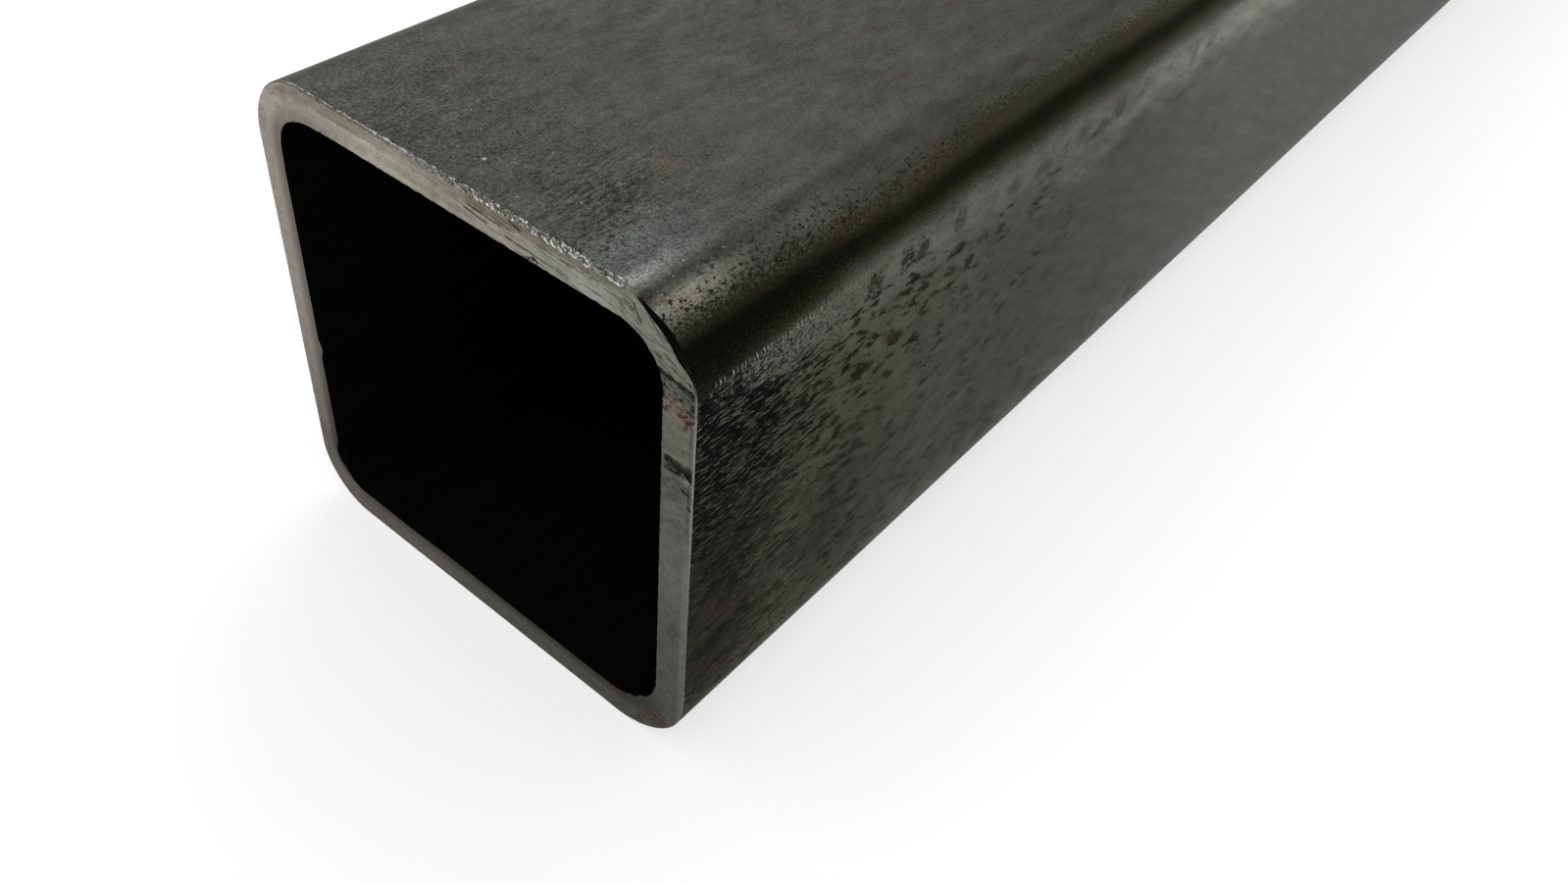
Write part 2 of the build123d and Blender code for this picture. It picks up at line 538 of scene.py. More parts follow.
def side_painted_light_and_marks(f):
    """How much brighter the right face is: painted light and shade make it bright along its top and
    more so far along, and darker towards the foot, with wisps, light patches, smudges and blots."""
    y, z, soft = f.y, f.z, f.soft
    wisps = f.cloud((0.25, 0.10, 0.75), shift=67, detail=4, roughness=0.6, slant=0.5) - 0.5
    # Painted shade towards the foot of the right face, lighter again along the very bottom.
    foot = z.rise(43, 32) * 0.22 + z.rise(11, 8) * -0.25
    foot = foot + z.rise(36, 25) * y.bell(22, 10) * 0.16 + soft * y.bell(24, 18) * 0.10
    foot = foot - z.rise(12, 8) * (y.rise(24, 16) * 0.10 + y.rise(24, 34) * 0.14)
    # Painted highlight along the top of the right face, growing farther along, and painted light that grows
    # along the tube.
    painted_crown_highlight = z.rise(38.5, 42.5) * (0.34 + y.rise(50, 110) * 0.45)
    shade = 0.98 + y.rise(10, 3) * z.rise(28, 35) * 0.12 + y.rise(3, 20) * 0.14
    shade = shade - y.rise(26, 55) * 0.10 + y.rise(45, 110) * 0.56 - foot + painted_crown_highlight
    patches = f.cloud((0.1, 0.10, 0.35), shift=17) - 0.5
    shade = shade - y.rise(4, 1) * z.bell(35, 7) * 0.16 + patches * y.rise(45, 70) * z.rise(32, 40) * 2.6
    smudges = f.cloud((0.1, 0.30, 0.22), shift=65).rise(0.50, 0.64)
    smudges = smudges * f.skin.bell(13.2, 2.6) * y.rise(36, 44) * y.rise(95, 80)
    blot = y.bell(69.6, 3.8) * z.bell(17.9, 4.2) + y.bell(18.5, 5) * z.bell(18, 8)
    shade = shade * (1 - smudges * 0.42 - blot * 0.30) * (1 + wisps * y.rise(20, 50) * 0.75)
    # A last painted highlight band high on the right face, farther along.
    return 1 + f.side * f.right * (shade * (1 + y.rise(40, 60) * z.bell(39.8, 6) * 0.34) - 1)


def bare_scale_and_highlight_tints(f, look):
    """The scale's own colour: greener at the foot of the side and browner in patches, with dashes of
    dirt beside the near end. There it also tints the painted highlights: bluish over the strip
    beside the bend, which is partly cleaner scale, and golden on the bend."""
    skin, y, lead_corner = f.skin, f.y, f.lead_corner
    footed = f.side * y.rise(60, 10) * (0.25 + f.z.rise(42, 37) * 0.75)
    f.colour = f.tinted(f.layer(f.shaded(look.scale_tint, 1.0), footed, look.foot_tint))
    f.coat(f.warm.rise(0.50, 0.66) * 0.45, f.tinted(look.brown_tint))
    # Bluish tint over the strip beside the bend near the end: partly cleaner scale, partly the colour of
    # the painted highlight there.
    clean = skin.rise(-4.2, -2.6) * skin.rise(1.8, 0.8) * y.rise(15, 6) * lead_corner
    f.coat(clean * 0.8, f.tinted(look.clean_and_highlight_tint))
    dirty = skin.bell(-8.5, 8.5) * y.rise(17, 6) * (0.5 + y.rise(1, 6) * 0.5) * lead_corner
    dashes = f.cloud((3.2, 0.8, 3.2), shift=19, detail=4, roughness=0.7)
    dashes = dashes.highest(dirty * 0.44 + (f.warm - 0.5) * 0.7, 0.05)
    f.coat(dashes * dirty, f.tinted(look.dirt_tint, 0.44))
    # Warm tint of the painted highlight on the upper right bend.
    f.coat(skin.bell(4.2, 2.4) * y.rise(16, 3) * lead_corner * 0.7, f.tinted(look.highlight_warm_tint))


def black_band_and_dark_reflection(f, look):
    """The black band round the upper right bend: dark scale, and a painted dark reflection where it
    is deepest, on the upper right bend beside the near end, with olive scale along both its edges.
    """
    y, lead_corner = f.y, f.lead_corner
    speckle = f.cloud((4.8, 2.8, 4.8), shift=41, detail=3, roughness=0.75)
    narrowing = y.rise(7, 15) * 0.25 + y.bell(27, 9) * 0.35 + y.rise(50, 90) * 0.35 + y.rise(80, 140) * 0.5
    above = f.skin - narrowing
    below = (f.skin - 8.9 - y.rise(20, 7) * 1.1 - y.rise(7, 3) * 0.4) * (1 - y.rise(22, 12) * 0.45)
    olive_shade = 0.5 + y.rise(2, 30) * 0.5 + y.rise(50, 120) * 1.15
    olive_shade = olive_shade * (1 + f.grain * (3.0 - y.rise(25, 60) * 2.4))
    stain = y.rise(35.0, 35.7) * y.rise(50, 40) * f.skin.bell(4.3, 2.3) * 0.35
    fringe = (below - y.rise(16, 30) * 0.25).rise(1.2, -0.7)
    margin = (above + y.rise(24, 40) * 0.7).rise(3.5, 6.8).at_least(stain) * fringe
    olive = speckle.highest(margin, 0.06 + y.rise(30, 70) * 0.12)
    f.coat(olive * lead_corner * 0.9, f.shaded(look.olive_colour, olive_shade))
    band = above.rise(5.6, 7.2) * (below + (speckle - 0.5) * (1.4 + y.rise(26, 18) * 1.4)).rise(0.7, -1.0)
    # The band is dark scale, and deepest on the upper right bend, where it also stands for a painted dark
    # reflection.
    deep = 0.55 + lead_corner * (0.26 + y.rise(30, 4) * 0.17)
    deep = deep - speckle.rise(0.50, 0.60) * lead_corner * y.rise(40, 15) * 0.14
    f.coat(band * deep, look.black_scale_and_reflection_colour)


def pits_and_flakes(f, look):
    """Small pits on the bend and the top beside it, then dark and rust-brown flakes just above
    the band. Returns where the pits are."""
    skin, y = f.skin, f.y
    pitted = (skin.bell(4.0, 3.2) * y.rise(34, 10) + skin.bell(-4.5, 4.5) * y.rise(16, 5)) * f.lead_corner
    pits = f.cloud((2.6, 1.7, 2.6), shift=53, detail=4, roughness=0.7).rise(0.585, 0.615) * pitted
    f.coat(pits, look.pit_colour)
    flakes = f.cloud((2.8, 1.5, 2.8), shift=55, detail=4, roughness=0.7)
    flaked = skin.bell(5.2, 2.3) * y.rise(48, 12) * y.rise(1, 5) * f.lead_corner
    rusty = f.layer(f.shaded(look.pit_colour, 1.0), f.warm.rise(0.46, 0.58) * 0.8, look.rust_dark)
    f.coat(flakes.highest(flaked * 0.22, 0.03) * 0.95, rusty)
    return pits


def marked_share(f):
    """About how much of the right face is marked: most of it beside the near end, less and
    less farther along, in clusters."""
    y, z = f.y, f.z
    cluster = f.cloud((0.20, 0.17, 0.30), shift=27, detail=3) - 0.5
    low = z.rise(43.5, 39.5)
    cover = (y.rise(24, -4) * 0.53 + y.rise(58, 4) * 0.42 + cluster) * low
    cover = cover + y.rise(7.5, 0) * (1 - low) * 0.75
    cover = cover - z.rise(11.5, 8.5) * f.near * 0.4 - z.rise(37, 29) * y.bell(13, 10) * 0.20
    cover = cover - z.bell(41.3, 2.4) * y.bell(13, 7) * 0.22 - z.rise(35, 29) * y.bell(30, 16) * 0.12
    return cover + y.rise(12, 3) * (z.rise(29, 34) * 0.50 + 0.20) * low


def handling_marks(f, look):
    """Marks in near black, brown and green on the right face: short and level beside the near
    end, larger and slanted farther on, with gaps, specks, a row of blots and a reddish cast low
    down behind them. Returns where the marks are."""
    y, soft = f.y, f.soft
    blend = y.rise(9, 26)
    short = f.cloud((1.0, 0.55, 2.7), shift=23, detail=5, roughness=0.68, slant=0.05) - 0.5
    slanted = f.cloud((0.6, 0.44, 1.15), shift=29, detail=6, roughness=0.64, slant=0.20) - 0.5
    pattern = (short + (slanted - short) * blend) * (1 + blend * (1 - blend) * 1.7) + 0.5
    blurred = 0.03 + blend * 0.09 + soft * 0.12 + y.rise(26, 45) * 0.08
    marks = pattern.highest(marked_share(f), blurred) * f.side * y.rise(75, 40)
    gaps = f.cloud((1.6, 0.9, 5.0), shift=47, detail=3, roughness=0.6, slant=0.04).rise(0.53, 0.57)
    marks = marks * (1 - gaps * y.rise(20, 6) * (0.85 - soft * 0.50))
    blots = 0
    for middle, half_width in BLOTS:
        blots = blots + y.bell(middle, half_width)
    blots = (blots * f.skin.bell(12.1, 1.9) * 1.6).at_most(1)
    broken = f.cloud((2.9, 2.3, 2.9), shift=71, detail=5, roughness=0.72)
    blotted = broken.highest(blots * 0.64, 0.04) * f.lead_corner * (0.92 - y.rise(29, 33) * 0.42)
    specked = y.rise(26, 3) * (0.20 + f.skin.bell(12.4, 2.4) * 0.34)
    specks = f.cloud((3.0, 2.0, 3.0), shift=73, detail=3, roughness=0.7).highest(specked) * f.side
    marks = marks.at_least(blotted).at_least(specks * 0.8) * f.right

    dark = f.shaded(look.dark_colour, 1 + f.grain * 3)
    brown = f.warm.rise(0.48, 0.58) * (y.rise(10, 24) * 0.75).at_least(soft * 0.7)
    green = f.cloud((0.4, 0.30, 0.5), shift=75).rise(0.50, 0.60) * y.rise(8, 20).at_least(soft)
    green = (green * 0.7).at_least(blots * y.rise(12, 18) * 0.30)
    dark = f.layer(f.layer(dark, brown, look.rust_dark), green, look.green_dark)
    f.coat(marks * (1 - blend * 0.12 - soft * (f.near * 0.12 + blend * 0.25)), dark)
    reddish = f.warm.rise(0.43, 0.56) * soft * y.rise(30, 8) * f.side * f.right
    f.coat(reddish * 0.5, f.tinted(look.reddish_tint, 0.52))
    return marks


def ticks_and_painted_glints(f, look):
    """A row of fine bare-metal ticks below the band, then painted glints near the end and one
    larger painted glint on the top.
    """
    y = f.y
    ticks = f.math("SINE", (y + f.wobble * 1.2) * (2 * math.pi / TICK_PITCH)).rise(0.35, 0.95)
    shown = f.cloud((0.05, 1.3, 0.05), shift=59, detail=1).rise(0.38, 0.56) * (0.46 + y.rise(9.5, 6) * 0.34)
    ticked = f.seam.bell(10.7, 0.42) * y.rise(1.5, 3) * y.rise(24, 12)
    f.coat(ticks * shown * ticked * f.lead_corner, look.bare_metal_and_glint_colour)
    # Painted glints: bright specks near the end, and one larger painted glint on the top.
    glints = f.cloud((4.4, 4.4, 4.4), shift=61).rise(0.715, 0.735) * f.near * (1 - f.skin.rise(4, 6))
    painted_glint_spot = y.bell(3.6, 0.3) * f.x.bell(0.1, 0.25) * f.upper
    f.coat((glints * 0.8).at_least(painted_glint_spot), look.bare_metal_and_glint_colour)


def mill_scale_finish(look):
    """The rolled outside: grey scale, dirty and rubbed towards the near end, with painted highlights,
    painted shade and a painted dark reflection, a black band round the upper bend and dark
    handling marks that thin out along the right face."""
    f = MillScale(look)
    # The shade holds painted light and shade on top of the scale's grain and mottle.
    f.shade = scale_grain_and_painted_light(f, look) * side_painted_light_and_marks(f)
    bare_scale_and_highlight_tints(f, look)
    black_band_and_dark_reflection(f, look)
    pits = pits_and_flakes(f, look)
    marks = handling_marks(f, look)
    ticks_and_painted_glints(f, look)
    relief = f.grain * 0.010 + f.brushed * 0.010 + f.mottle * 0.01 - marks * 0.006 - pits * 0.03
    return f.done(look.scale_roughness + f.grain * 0.22 + f.mottle * 0.12 + marks * 0.12, relief)


class SawnSteel(Finish):
    """The sawn ends, with the places and patterns that their layers share. Near is 1 on the
    near cut, which alone carries the dirt."""

    def __init__(self, look):
        super().__init__("sawn_steel", edge_tint=look.scale_edge)
        self.near = self.at_near_end()
        self.into_wall = self.depth()
        self.fine = self.cloud((0.14, 1.0, 6.0), shift=3, detail=4, roughness=0.65) - 0.5
        self.ridges = self.cloud((0.06, 1.0, 2.2), shift=5) - 0.5
        self.mottle = self.cloud((0.9, 1.0, 1.1), shift=7, detail=4, roughness=0.65) - 0.5
        self.grain = self.cloud((5.0, 1.0, 5.0), shift=9, detail=3, roughness=0.7) - 0.5
        self.torn = self.cloud((2.2, 1.0, 3.6), shift=43, detail=4, roughness=0.75)
        self.dots = self.cloud((2.4, 1.0, 2.7), shift=49)
        self.top = self.z.rise(43, 48)
        self.left_wall = self.x.rise(-20, -24)
        self.right_wall = self.x.rise(21.5, 23) * self.z.rise(46, 44)
        self.plain = self.left_wall.at_least(self.right_wall * self.z.rise(34, 28))


def cut_colour_and_painted_light(f, look):
    """The cut's colour and brightness: painted light and shade make it brightest along the top and
    high up the left and darker low down and to the right; it is pinker to the left, greener to the
    right, with the saw's lines and a mottle."""
    x, z, top, left_wall, right_wall = f.x, f.z, f.top, f.left_wall, f.right_wall
    # Lit is painted light and shade on the near cut: brighter higher up, along the top and high up the
    # left, darker to the right, with a painted light band along the right wall's outer edge.
    lit = 0.57 + z * 0.006 - x * 0.004 + left_wall * z.rise(0, 30) * 0.85
    lit = lit + top * (0.85 + x.bell(-9, 7) * 0.38 - x.rise(15, 21) * 0.46 - left_wall * 0.40)
    lit = lit + z.rise(5, 3) * x.rise(-3, -10) * 0.09
    lit = lit + right_wall * (z.bell(24, 7) * 0.10 + x.rise(24.5, 24.95) * z.rise(34, 22) * 0.22)
    lines = (f.fine * 0.8 + f.ridges * 0.4 + f.grain * 0.9) * (1 - f.plain * 0.6)
    blotchy = 0.8 + right_wall * 1.6 - f.plain * right_wall * 1.3
    f.shade = look.cut_shade * (lit * f.near + 0.9 * (1 - f.near)) * (1 + lines + f.mottle * blotchy)
    pinker = left_wall.at_least(x.rise(-8, -18) * 0.7)
    tint = f.layer(f.shaded(look.cut_tint, 1.0), pinker * f.near, look.left_tint)
    f.colour = f.tinted(f.layer(tint, x.rise(4, 19) * f.near, look.right_tint))


def browned_edges_and_lip_shade(f, look):
    """The outer third of the top wall: browner, with rust streaks and a thin dark line. Then
    the inner edge all round, darker towards the bore as brown scale and painted shade, most of all
    at the left."""
    x, z, left_wall = f.x, f.z, f.left_wall
    third = f.into_wall + f.mottle * 1.4
    reach = 0.4 + x.bell(-12, 7) * 0.48 + x.rise(-1, 4) * 0.55
    browned = f.top * reach * x.rise(-22, -19) * x.rise(19.5, 17) * f.near
    f.coat(third.rise(1.5, 1.0) * browned, f.tinted(look.third_tint))
    streaks = f.cloud((0.5, 1.0, 4.2), shift=45, detail=4, roughness=0.65, lean=0.05)
    f.coat(streaks.rise(0.56, 0.64) * third.rise(1.7, 1.2) * browned * 0.55, look.rust_colour)
    f.coat(third.bell(1.35, 0.16) * streaks.rise(0.42, 0.52) * browned * 0.55, look.smear_colour)
    # Darker towards the bore: brown scale along the lip, deepened as painted shade, most of all at the left
    # and low down.
    worn = left_wall * (0.56 + z.rise(22, 8) * 0.38) + z.rise(8, 4) * 0.5 * (1 - left_wall)
    worn = worn + f.top * x.rise(-10, -19) * 0.2
    inward = (f.into_wall + f.mottle * 0.9 + left_wall * 0.3).rise(1.75, 3.1)
    f.coat(inward * worn.at_most(0.95) * f.near, look.lip_scale_and_shade_colour)


def hairs_and_flecks(f, look):
    """Fine scratches along the top wall, crossed at the upper right bend, then dark flecks all
    over, pits and bare dots high on the right wall, and a dark groove along that wall's outer
    edge. Returns where the fine scratches are."""
    x, z, near, dots = f.x, f.z, f.near, f.dots
    scratches = f.cloud((0.22, 1.0, 7.0), shift=37, detail=4, roughness=0.6, lean=0.06)
    scratched = (z + x * 0.06).rise(43, 46) * x.rise(-8, 4) * x.rise(20, 17) * near
    crossed = f.cloud((0.70, 1.0, 4.6), shift=39, detail=3, roughness=0.6, lean=0.45)
    crossed = crossed.rise(0.56, 0.59) * x.rise(16, 19) * z.rise(44.6, 45.6) * near * 0.85
    hairs = (scratches.rise(0.57, 0.60) * scratched).at_least(crossed)
    f.coat(hairs * 0.8, look.smear_colour)
    flecks = f.cloud((2.6, 1.0, 3.4), shift=2, detail=3, roughness=0.7).rise(0.64, 0.68)
    f.coat(flecks * (0.3 + 0.45 * x.rise(0, 20)), look.smear_colour)
    dotted = x.rise(21.2, 22) * z.rise(46, 45) * z.rise(39.5, 42.5) * near
    f.coat(dots.rise(0.58, 0.62) * dotted, look.pit_colour)
    f.coat(dots.rise(0.40, 0.36) * dotted * 0.6, look.fresh_colour)
    groove = (f.into_wall + f.mottle * 0.6).bell(0.45, 0.25) * f.right_wall * z.rise(26, 34) * near
    f.coat(groove * 0.5, look.smear_colour)
    return hairs


def single_marks(f, look):
    """The scratches and soft stains listed here by their two ends as (x, z), with half width,
    a stain's amount and the colour, broken where the steel is torn. Last come the marker
    smudge's darker dots and a cream patch where the right wall was wiped clean."""
    pit, smear, rust, brown = look.pit_colour, look.smear_colour, look.rust_colour, look.rust_dark
    smudge = (22.9, 42.3), (24.1, 41.6)
    for start, end, half_width, colour in (
        ((21.7, 45.00), (22.9, 44.85), 0.34, pit),
        ((22.9, 44.85), (23.8, 44.65), 0.18, pit),
        ((23.8, 44.65), (25.1, 44.30), 0.40, pit),
        ((19.2, 49.6), (20.0, 48.2), 0.10, smear),
        ((20.4, 49.6), (22.2, 47.6), 0.07, smear),
        ((22.8, 36.9), (25.1, 36.5), 0.52, pit),
        ((24.2, 36.5), (25.2, 36.3), 0.70, pit),
        ((22.6, 35.9), (23.9, 36.0), 0.22, pit),
        ((24.3, 36.2), (24.9, 35.7), 0.15, look.fresh_colour),
        ((24.3, 34.5), (24.9, 34.35), 0.18, pit),
        ((25.0, 33.1), (25.2, 32.9), 0.20, pit),
        ((2.2, 49.34), (5.7, 49.13), 0.09, smear),
        ((1.7, 48.93), (4.2, 48.65), 0.10, smear),
        ((6.3, 48.50), (12.8, 48.15), 0.08, smear),
        ((8.5, 47.72), (9.2, 47.95), 0.20, smear),
        ((9.2, 48.10), (9.6, 47.85), 0.16, pit),
        ((6.7, 50.15), (7.9, 49.80), 0.11, brown),
    ):
        whole = (f.torn.rise(0.38, 0.48) + half_width).at_most(1)
        f.coat(f.stroke(start, end, half_width, core=0.6) * whole * f.near * 0.94, colour)
    for start, end, half_width, amount, colour in (
        ((22.7, 44.0), (24.8, 43.2), 1.2, 0.60, smear),
        ((23.2, 36.4), (25.2, 36.7), 1.1, 0.85, pit),
        ((22.6, 34.4), (25.2, 34.2), 1.1, 0.40, smear),
        (*smudge, 1.2, 0.56, look.marker_colour),
        ((21.6, 3.2), (22.7, 3.9), 1.3, 0.75, rust),
        ((21.9, 3.2), (22.6, 3.7), 1.0, 0.50, smear),
        ((20.2, 1.4), (20.6, 2.4), 0.7, 0.65, rust),
        ((15.2, 3.1), (17.4, 3.2), 0.8, 0.55, rust),
        ((-25.0, 8.6), (-23.4, 7.8), 1.5, 0.32, smear),
        ((23.8, 17.0), (24.0, 17.8), 0.9, 0.50, look.olive_colour),
        ((-24.5, 44.6), (-24.3, 46.2), 0.7, 0.35, smear),
        ((-22.6, 48.7), (-18.5, 50.3), 0.6, 0.35, smear),
        ((2.2, 49.85), (3.9, 49.95), 0.5, 0.35, rust),
        ((5.0, 49.7), (5.9, 49.6), 0.5, 0.35, rust),
        ((10.2, 49.8), (11.0, 49.6), 0.45, 0.30, rust),
    ):
        f.coat(f.stroke(start, end, half_width) * f.torn.rise(0.38, 0.58) * f.near * amount, colour)
    reddened = f.stroke(*smudge, 1.3) * f.dots.rise(0.53, 0.58)
    f.coat(reddened * f.near * 0.7, f.shaded(look.marker_colour, 0.15))
    wiped = f.stroke((22.9, 40.4), (24.2, 38.4), 2.0) * f.torn.rise(0.62, 0.46)
    f.coat(wiped * f.near * 0.5, f.shaded(look.cut_tint, look.cut_shade))


def sawn_steel_finish(look):
    """The sawn ends: bright steel with fine lines straight across, a browner outer third, and at the
    near end painted light and shade and the scratches, smears and stains that it picked up."""
    f = SawnSteel(look)
    cut_colour_and_painted_light(f, look)
    browned_edges_and_lip_shade(f, look)
    hairs = hairs_and_flecks(f, look)
    single_marks(f, look)
    relief = (f.fine * 0.035 + f.ridges * 0.02) * (1 - f.plain * 0.6)
    relief = relief + f.grain * 0.012 + f.mottle * 0.02 - hairs * 0.03
    return f.done(look.cut_roughness + f.mottle * 0.2 + f.grain * 0.1, relief)


def filed_edge_finish(look):
    """The broken edges: torn bright steel with painted glints along the top, a painted dark
    reflection in black round the upper right bend, a painted highlight as a thin bright line down
    the right, and plain filed steel elsewhere."""
    f = Finish("filed_edge", edge_tint=look.scale_edge)
    x, y, z = f.x, f.y, f.z
    near = f.at_near_end()
    torn = f.cloud((2.6, 2.6, 2.6), shift=3, detail=4, roughness=0.7)
    facets = f.cloud((3.0, 4.6, 5.4), shift=5, lean=0.5)
    skin = f.round_the_bend()
    lead_corner = x.over(0) * z.over(HALF) * near
    top = z.rise(SIDE - 2, SIDE - 1)
    burr = top * x.rise(-12, 6) * x.rise(19.0, 18.3) * near
    thin_burr = top * x.rise(-22, -18) * x.rise(1, -10) * near
    # Painted highlight down the right edge, brighter high up and a little darker low down.
    right_edge_highlight = x.rise(25.0, 25.2) * z.rise(42.5, 40) * near
    f.shade = look.edge_shade * (1 + (torn - 0.5) * 1.6 + right_edge_highlight * (z.rise(14, 34) * 0.45 - 0.15))
    f.colour = f.tinted(look.cut_tint)
    f.coat(x.rise(4, 19), f.tinted(look.right_tint))
    # Painted dark reflection: black round the upper right bend's filed edge beside the near end.
    bend = skin.rise(1.3, 2.0) * skin.rise(11.4, 9.0) * lead_corner
    f.coat(bend, f.shaded(look.black_scale_and_reflection_colour, 0.6))
    brown = (skin.bell(8.6, 2.4) + skin.bell(1.9, 0.9)) * torn.rise(0.42, 0.56) * lead_corner
    f.coat(brown * 0.7, look.rust_dark)
    f.coat(burr * torn.rise(0.58, 0.46) * 0.5, look.smear_colour)
    lines = y.bell(0.04, 0.12) * 0.9 + y.rise(0.15, 0.23)
    clumps = f.cloud((0.9, 1.0, 1.0), shift=7).rise(0.40, 0.58)
    # Torn bright steel along the top edge, with painted glints on its facets.
    glitter = facets.rise(0.50, 0.54) * lines * (0.35 + 0.65 * clumps)
    f.coat(glitter * burr, look.torn_steel_and_glint_colour)
    thin_line = y.rise(0.06, 0.14) * torn.rise(0.32, 0.50)
    f.coat(thin_line * thin_burr * 0.7, look.torn_steel_and_glint_colour)
    relief = ((torn - 0.5) * 0.10 + (facets - 0.5) * 0.08) * (1 - bend)
    return f.done(look.edge_roughness + (torn - 0.5) * 0.3, relief)


def bore_scale_finish(look):
    """The inside: dark scale painted nearly black as painted shade, without reflection, with faint
    lengthwise streaks.
    """
    # No reflection and a near-black colour keep the inside dark as painted shade.
    f = Finish("bore_scale_and_shade", metallic=0.0, specular=0.0)
    streaks = f.cloud((1.4, 0.08, 1.4), shift=3, detail=3) - 0.5
    grain = f.cloud((3.0, 1.5, 3.0), shift=5, detail=3, roughness=0.65) - 0.5
    f.colour = f.shaded(look.bore_tint, look.bore_dark_scale_and_shade * (1 + streaks * 1.1 + grain * 0.9))
    return f.done(0.8 + grain * 0.2, grain * 0.03 + streaks * 0.02)


# ---------------------------------------- sizes and colours


def colour_setting(name, description, default):
    return FloatVectorProperty(name=name, description=description, default=default, size=3,
                               subtype="COLOR", min=0.0, max=1.0)


def share_setting(name, description, default):
    return FloatProperty(name=name, description=description, default=default, min=0.0, max=1.0,
                         subtype="FACTOR")


def length_setting(name, description, default):
    return FloatProperty(name=name, description=description, default=default, unit="LENGTH",
                         subtype="DISTANCE", precision=5)


class TubeSizes(bpy.types.PropertyGroup):
    """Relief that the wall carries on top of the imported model's size."""

    bead_height: length_setting("Bead height", "Weld bead inside the left wall", 0.0005)
    waviness: length_setting("Waviness", "Most that the rolled outside dips below flat", 0.00004)
    saw_ripple: length_setting("Saw ripple", "Depth of the ridges that the saw left", 0.000018)


class TubeLook(bpy.types.PropertyGroup):
    """Colours and roughness of the four finishes."""

    scale_shade: share_setting("Scale brightness", "Reflectance of the rolled outside", 0.082)
    scale_tint: colour_setting("Scale tint", "Tint of the rolled outside", (1.0, 1.0, 0.88))
    foot_tint: colour_setting("Foot tint", "Tint of the side walls near the end", (0.93, 1.0, 0.69))
    brown_tint: colour_setting("Brown tint", "Tint of the browner patches outside", (1.0, 0.9, 0.72))
    reddish_tint: colour_setting("Reddish tint", "Tint low down beside the near end", (1.0, 0.84, 0.68))
    # Warm tint of the painted highlight on the upper right bend.
    highlight_warm_tint: colour_setting("Golden tint", "Tint of the rubbed line on the bend", (1.0, 0.96, 0.76))
    dirt_tint: colour_setting("Dirt tint", "Tint of the dirt beside the near end", (0.92, 0.82, 0.56))
    # Tint of the strip beside the bend: partly cleaner scale, partly the bluish painted highlight.
    clean_and_highlight_tint: colour_setting("Clean tint", "Tint of the rubbed strip beside the bend", (0.94, 1.0, 0.93))
    scale_edge: share_setting("Scale edge", "Reflectance of the rolled outside at a glance", 0.55)
    scale_roughness: share_setting("Scale roughness", "Roughness of the rolled outside", 0.42)
    # Black scale, which on the upper right bend and its filed edge is also a painted dark reflection.
    black_scale_and_reflection_colour: colour_setting("Band", "Black scale round the bends", (0.003, 0.0035, 0.002))
    olive_colour: colour_setting("Olive scale", "Olive brown scale beside the band", (0.034, 0.032, 0.017))
    pit_colour: colour_setting("Pits", "Dirt in pits and scratches", (0.012, 0.011, 0.008))
    dark_colour: colour_setting("Dark marks", "Handling marks on the right face", (0.0026, 0.0032, 0.0016))
    rust_dark: colour_setting("Brown marks", "Browner handling marks", (0.022, 0.0135, 0.008))
    green_dark: colour_setting("Green marks", "Greener handling marks", (0.021, 0.023, 0.011))
    # Bare metal at the roll ticks, and the colour of the painted glints near the end.
    bare_metal_and_glint_colour: colour_setting("Worn spots", "Bare metal at the roll ticks", (0.42, 0.43, 0.40))
    cut_shade: share_setting("Cut brightness", "Reflectance of the sawn ends", 0.185)
    cut_tint: colour_setting("Cut tint", "Tint of the sawn ends", (1.0, 0.955, 0.79))
    left_tint: colour_setting("Left tint", "Tint of the left wall's sawn end", (1.0, 0.91, 0.80))
    right_tint: colour_setting("Right tint", "Tint of the right wall's sawn end", (0.97, 1.0, 0.85))
    third_tint: colour_setting("Third tint", "Tint of the top wall's outer third", (0.62, 0.585, 0.46))
    # Dark brown scale along the lip of the bore, deepened as painted shade towards the bore.
    lip_scale_and_shade_colour: colour_setting("Lip", "Dark brown scale along the lip of the bore", (0.012, 0.008, 0.005))
    fresh_colour: colour_setting("Fresh metal", "Bright torn spots on the sawn end", (0.26, 0.27, 0.22))
    cut_roughness: share_setting("Cut roughness", "Roughness of the sawn ends", 0.5)
    smear_colour: colour_setting("Smears", "Dark smears on the sawn end", (0.03, 0.027, 0.02))
    marker_colour: colour_setting("Marker", "Pink marker smudge on the sawn end", (0.22, 0.055, 0.085))
    rust_colour: colour_setting("Rust", "Rust on the sawn end", (0.07, 0.03, 0.015))
    edge_shade: share_setting("Edge brightness", "Reflectance of the filed edges", 0.17)
    edge_roughness: share_setting("Edge roughness", "Roughness of the filed edges", 0.42)
    # Torn bright steel on the top edge, painted as bright glints.
    torn_steel_and_glint_colour: colour_setting("Glitter", "Torn bright steel on the top edge", (0.9, 0.9, 0.9))
    bore_tint: colour_setting("Bore tint", "Tint of the inside", (1.0, 0.95, 0.85))
    # Brightness of the inside: dark scale, made nearly black as painted shade.
    bore_dark_scale_and_shade: share_setting("Bore brightness", "Reflectance of the inside", 0.004)


